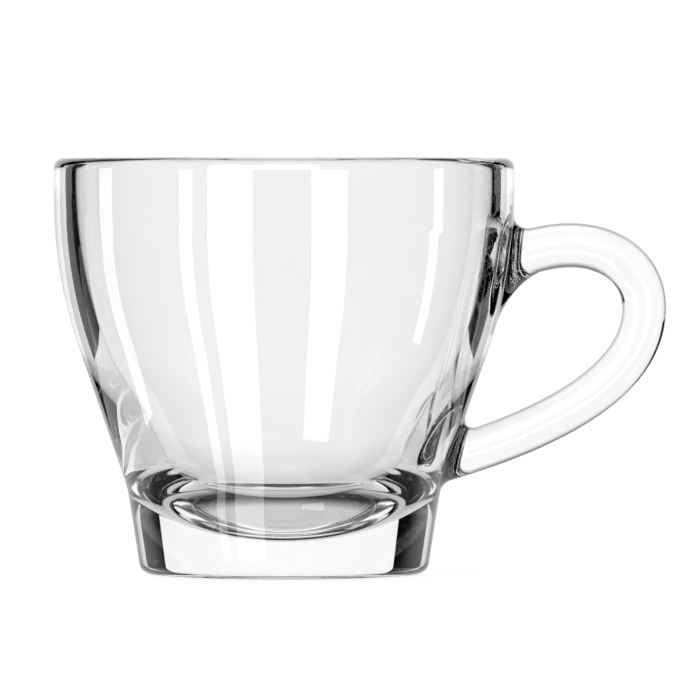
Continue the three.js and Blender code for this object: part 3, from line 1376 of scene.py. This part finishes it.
@dataclass(frozen=True)
class Card:
    """An upright studio card round the cup, of even light or black, in degrees from the camera's side."""

    name: str
    from_degrees: float
    to_degrees: float
    light: float = 3.5
    seen: Seen = Seen.OUTSIDE
    distance: float = 0.55
    low: float = 0.0
    high: float = 0.1
    fade: float = 0.0
    step: float = 5.0

    def shape(self) -> tuple[list[Vector], list[tuple[int, ...]]]:
        """The card's mesh.

        Returns:
            The corners, and the corner numbers of each face.
        """
        span = self.to_degrees - self.from_degrees
        steps = max(1, math.ceil(abs(span) / self.step))
        turns = [math.radians(self.from_degrees + span * k / steps) for k in range(steps + 1)]
        points = [
            Vector((self.distance * math.sin(turn), -self.distance * math.cos(turn), z))
            for turn in turns for z in (self.low, self.high)
        ]
        return points, [(2 * k, 2 * k + 1, 2 * k + 3, 2 * k + 2) for k in range(steps)]

    def place(self) -> None:
        """Puts the card in the studio."""
        material, sketch = new_material(self.name)
        strength = self.light
        if self.fade:
            height = sketch.parts(sketch.place())["Z"]
            strength = sketch.eased(height, (self.low, self.low + self.fade), 1.0, self.light)
        path = sketch.path()
        tests = {
            Seen.OUTSIDE: ("LESS_THAN", path["Transmission Depth"], UNDER_ONE),
            Seen.REFLECTED: ("MINIMUM", path["Glossy Depth"], 1.0),
        }
        shown = sketch.math(*tests[self.seen]) if self.seen in tests else 1.0
        clear = sketch.out("ShaderNodeBsdfTransparent")
        shader = sketch.out("ShaderNodeMixShader", {0: shown, 1: clear, 2: sketch.glow(strength)})
        sketch.add("ShaderNodeOutputMaterial", {"Surface": shader})
        card = put(self.name, new_mesh(self.name, *self.shape()))
        card.data.materials.append(material)
        card.visible_camera = False
        card.visible_diffuse = False
        card.visible_shadow = False
        card.visible_transmission = self.seen is not Seen.OUTSIDE
        card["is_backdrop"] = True


@dataclass(frozen=True)
class FloorWedge(Card):
    """A studio card laid on the floor between two distances from the axis."""

    near: float = 0.165
    far: float = 0.66
    lift: float = 0.0002

    def corner(self, degrees: float, distance: float) -> Vector:
        """The floor point at an angle and a distance."""
        turn = math.radians(degrees)
        return Vector((distance * math.sin(turn), -distance * math.cos(turn), self.lift))

    def shape(self) -> tuple[list[Vector], list[tuple[int, ...]]]:
        """The card's four corners and the corner numbers of its face."""
        ends = (self.from_degrees, self.to_degrees)
        return [self.corner(end, reach) for reach in (self.near, self.far) for end in ends], [(0, 1, 3, 2)]


@dataclass(frozen=True)
class FloorCard(FloorWedge):
    """A studio card laid on the floor, along the rays that the cup's side throws down."""

    near: float = 0.004
    far: float = 0.56
    lift: float = 0.0004
    foot: float = 0.03

    def corner(self, degrees: float, distance: float) -> Vector:
        """The floor point that a ray meets after the cup's side has turned it.

        Args:
            degrees: How far the ray is turned.
            distance: How far it runs from the cup's side.

        Returns:
            The point.
        """
        turn = math.radians(degrees)
        across = self.foot * math.sin(turn / 2) + distance * math.sin(turn)
        ahead = self.foot * math.cos(turn / 2) + distance * math.cos(turn)
        return Vector((across, -ahead, self.lift))


# Settings that several cards share
FLAG = {"light": 0.0, "seen": Seen.ALL, "distance": 3.0, "low": 0.2, "high": 2.0, "fade": 0.1}
WALL_FLAG = {"light": 0.0, "seen": Seen.REFLECTED, "distance": 0.59, "low": -0.0003, "high": 0.4}
HIGH_BOX = {"light": 0.6, "seen": Seen.REFLECTED, "distance": 0.6, "low": 0.45, "high": 0.85}
WEDGE = {"light": 0.0, "seen": Seen.REFLECTED}


@dataclass(frozen=True)
class Studio:
    """The floor, the surround, the lamp and the camera."""

    floor_size: float = 40.0
    floor_colour: float = 0.8
    floor_glow: float = 0.8
    floor_drop: float = 0.0003
    ring_reach: float = 0.03
    # painted shadow: floor light in the glass by distance from the axis, darker towards the cup
    rings: tuple[Point2, ...] = (
        (0.0, 0.6), (0.022, 0.66), (0.03, 0.7), (0.045, 0.86),
        (0.075, 1.0), (0.2, 1.05), (0.5, 1.05), (1.5, 1.04),
    )
    # painted shade for rays that the glass reflected: darker towards the cup, darkest in a ring under the
    # foot's edge
    painted_shadow_turned_rings: tuple[Point2, ...] = (
        (0.0, 0.6), (0.0145, 0.62), (0.0175, 0.2), (0.0195, 0.03), (0.0225, 0.03), (0.0255, 0.6),
        (0.04, 0.75), (0.1, 0.8), (0.4, 0.85), (1.5, 1.0),
    )
    back: float = 1.02
    front: float = 0.7
    front_turned: float = 0.02
    side: Point2 = (-0.25, 0.25)
    side_turned: Point2 = (0.45, 0.75)
    upper: float = 0.04
    upper_from: Point2 = (0.4, 0.8)
    upper_turned_from: Point2 = (0.42, 0.62)
    zenith: float = 1.0
    zenith_width: Point2 = (0.2, 0.32)
    zenith_from: Point2 = (0.72, 0.84)
    zenith_back: Point2 = (-0.3, -0.1)
    fill: float = 0.3
    lamp_size: float = 0.9
    lamp_power: float = 2.0
    lamp_place: tuple[float, float, float] = (-0.3, -0.3, 1.3)
    camera_distance: float = 1.5
    camera_height: float = 0.0765
    aim: tuple[float, float, float] = (0.0116, 0.0, 0.0392)
    frame_width: float = 0.1232
    sensor_width: float = 36.0
    sight: float = 100.0
    bounces: int = 32
    glossy_bounces: int = 16
    cards: tuple[Card, ...] = (
        Card("strip_far_left", -101.5, -92.0),
        Card("strip_left", -51.2, -44.2),
        Card("softbox_left", -36.7, -14.4),
        Card("softbox_right", 13.4, 30.9),
        Card("strip_right", 78.0, 84.0),
        FloorCard("low_strip_far_left", -104.0, -95.0, near=0.055),
        FloorCard("low_strip_left", -53.0, -46.0),
        FloorCard("low_softbox_left", -38.0, -15.0),
        FloorCard("low_softbox_right", 14.0, 32.0, near=0.03),
        FloorCard("low_strip_right", 78.0, 84.0, near=0.08),
        Card("flag_left", -142.0, -114.0, **FLAG),
        Card("flag_right", 114.0, 136.5, **FLAG),
        Card("wall_flag_left", -147.5, -114.0, **WALL_FLAG),
        Card("wall_flag_right", 114.0, 146.0, **WALL_FLAG),
        Card("front_box", -37.0, 18.0, low=0.1, high=0.5),
        Card("high_box_left", -116.0, -72.0, **HIGH_BOX),
        Card("high_box_right", 72.0, 116.0, **HIGH_BOX),
        FloorWedge("wedge_left", -148.5, -124.0, **WEDGE),
        FloorWedge("wedge_right", 124.0, 148.5, **WEDGE),
    )

    def _painted_shadow_ramp(self, sketch: NodeSketch, share: Any, rings: tuple[Point2, ...]) -> Socket:
        """Painted shadow: light that changes with the distance from the axis.

        Args:
            sketch: The tree to draw in.
            share: The distance, as the share of it in its sum with the ring reach.
            rings: Distances and the light at each.

        Returns:
            The light.
        """
        node = sketch.add("ShaderNodeValToRGB", {0: share})
        stops = node.color_ramp.elements
        for distance, light in rings:
            stops.new(distance / (distance + self.ring_reach)).color = (light, light, light, 1.0)
        stops.remove(stops[0])
        stops.remove(stops[len(stops) - 1])
        return node.outputs[0]

    @staticmethod
    def _turned(sketch: NodeSketch, path: Any, plain: Socket, thrown: Socket) -> Socket:
        """The plain level, or the thrown one for rays that the glass has reflected."""
        turned = sketch.math("MINIMUM", path["Glossy Depth"], 1.0)
        return sketch.out("ShaderNodeMix", {0: turned, 2: plain, 3: thrown})

    def lay_floor(self) -> None:
        """Lays a pale floor that keeps the cup's shadow, and shows the glass a painted shadow that darkens
        towards the cup.
        """
        material, sketch = new_material("floor")
        path = sketch.path()
        paint = sketch.out("ShaderNodeBsdfDiffuse", {"Color": (self.floor_colour,) * 3 + (1.0,)})
        bright = sketch.math("MULTIPLY", path["Is Camera Ray"], self.floor_glow)
        lit = sketch.out("ShaderNodeAddShader", {0: paint, 1: sketch.glow(bright)})
        place = sketch.place()
        reach = sketch.add("ShaderNodeVectorMath", {0: place}, operation="LENGTH").outputs["Value"]
        share = sketch.math("DIVIDE", reach, sketch.math("ADD", reach, self.ring_reach))
        # painted shadow pool round the cup as the glass sees the floor; for reflected rays the floor also
        # goes dark except behind the cup
        plain, thrown = (self._painted_shadow_ramp(sketch, share, rings) for rings in (self.rings, self.painted_shadow_turned_rings))
        behind = sketch.math("ADD", sketch.parts(place)["Y"], self.ring_reach)
        behind = sketch.math("DIVIDE", behind, reach)
        thrown = sketch.eased(behind, self.side_turned, self.front_turned, thrown)
        shown = sketch.glow(self._turned(sketch, path, plain, thrown))
        in_glass = sketch.math("MAXIMUM", path["Is Glossy Ray"], path["Is Transmission Ray"])
        both = sketch.out("ShaderNodeMixShader", {0: in_glass, 1: lit, 2: shown})
        sketch.add("ShaderNodeOutputMaterial", {"Surface": both})
        half = self.floor_size / 2
        ends = ((-half, -half), (half, -half), (half, half), (-half, half))
        floor = put("floor", new_mesh("floor", [Vector((x, y, 0.0)) for x, y in ends], [(0, 1, 2, 3)]))
        floor.data.materials.append(material)
        floor.location.z = -self.floor_drop
        floor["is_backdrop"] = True

    def hang_surround(self) -> None:
        """Sets a white backdrop with a dim room round it in the glass, and an even fill for the floor."""
        world = bpy.data.worlds.new("studio")
        world.use_nodes = True
        sketch = NodeSketch(world.node_tree)
        parts = sketch.parts(sketch.add("ShaderNodeTexCoord").outputs["Generated"])
        path = sketch.path()
        plain = sketch.eased(parts["Y"], self.side, self.front, self.back)
        plain = sketch.eased(parts["Z"], self.upper_from, plain, self.upper)
        thrown = sketch.eased(parts["Y"], self.side_turned, self.front_turned, self.back)
        thrown = sketch.eased(parts["Z"], self.upper_turned_from, thrown, self.upper)
        level = self._turned(sketch, path, plain, thrown)
        across = sketch.math("ABSOLUTE", parts["X"])
        zenith = sketch.eased(across, self.zenith_width, self.zenith, self.upper)
        zenith = sketch.eased(parts["Y"], self.zenith_back, self.upper, zenith)
        level = sketch.eased(parts["Z"], self.zenith_from, level, zenith)
        level = sketch.math("MAXIMUM", level, path["Is Camera Ray"])
        seen = sketch.math("MAXIMUM", path["Is Camera Ray"], path["Is Glossy Ray"])
        seen = sketch.math("MAXIMUM", seen, path["Is Transmission Ray"])
        strength = sketch.math("MULTIPLY_ADD", seen, sketch.math("SUBTRACT", level, self.fill), self.fill)
        background = sketch.out("ShaderNodeBackground", {"Color": WHITE, "Strength": strength})
        sketch.add("ShaderNodeOutputWorld", {"Surface": background})
        bpy.context.scene.world = world

    def hang_lamp(self) -> None:
        """Hangs one broad soft lamp over the cup."""
        lamp = bpy.data.lights.new("overhead", "AREA")
        lamp.shape = "DISK"
        lamp.size = self.lamp_size
        lamp.energy = self.lamp_power
        holder = put("overhead", lamp)
        holder.location = self.lamp_place
        holder.rotation_euler = (-holder.location).to_track_quat("-Z", "Y").to_euler()
        holder.visible_glossy = False
        holder.visible_transmission = False
        holder.visible_camera = False

    def set_camera(self) -> None:
        """Stands the camera in front of the cup, a little above its lip."""
        data = bpy.data.cameras.new("camera")
        camera = put("camera", data)
        aim = Vector(self.aim)
        camera.location = (aim.x, -self.camera_distance, self.camera_height)
        away = aim - camera.location
        camera.rotation_euler = away.to_track_quat("-Z", "Y").to_euler()
        data.sensor_width = self.sensor_width
        data.lens = data.sensor_width * away.length / self.frame_width
        data.clip_end = self.sight
        bpy.context.scene.camera = camera

    def build(self) -> None:
        """Sets up the whole studio."""
        scene = bpy.context.scene
        scene.view_settings.view_transform = "Standard"
        self.lay_floor()
        self.hang_surround()
        self.hang_lamp()
        for card in self.cards:
            card.place()
        self.set_camera()
        scene.cycles.max_bounces = self.bounces
        scene.cycles.transmission_bounces = self.bounces
        scene.cycles.glossy_bounces = self.glossy_bounces
        scene.cycles.transparent_max_bounces = self.bounces


def write_sizes(boxes: Iterable[tuple[str, Any]]) -> None:
    """Turns the corners of named boxes into plain lists of numbers, and keeps nothing."""
    plain = {name: [[float(value) for value in corner] for corner in box] for name, box in boxes}


def main() -> None:
    """Builds the cup piece by piece and sets the studio round it."""
    logging.basicConfig(level=logging.INFO, format="%(name)s: %(message)s")
    effects = GlassEffects()
    joint = JointFinish("fused_joint").make()
    form = CupForm()
    handle_finish = GlassFinish("handle_glass", wave_scale=60.0, edge=(0.45, 0.8), painted_edge_shade=0.1)
    handle_glass = handle_finish.make(effects)
    bowl_glass = GlassFinish("bowl_glass").make(effects)
    foot_glass = GlassFinish("foot_glass", wave_scale=30.0).make(effects)
    handle = Handle(form, "handle", "handle_glass", handle_glass, joint)
    bowl = Bowl(form, "bowl", "bowl_glass", bowl_glass, joint, patches=tuple(handle.patches.values()))
    foot = Foot(form, "foot", "foot_glass", foot_glass, joint)
    turned, bar = TurnedTree("turned_glass"), BarTree("handle_bar")
    for piece, tree in ((bowl, turned), (foot, turned), (handle, bar)):
        piece.build(tree)
        piece.dress()
        LOG.info("%s: %d faces", piece.object.name, len(piece.object.data.polygons))
    Studio().build()
    write_sizes((("cad", CAD_BOX), ("visual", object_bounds())))


if __name__ == "__main__":
    main()
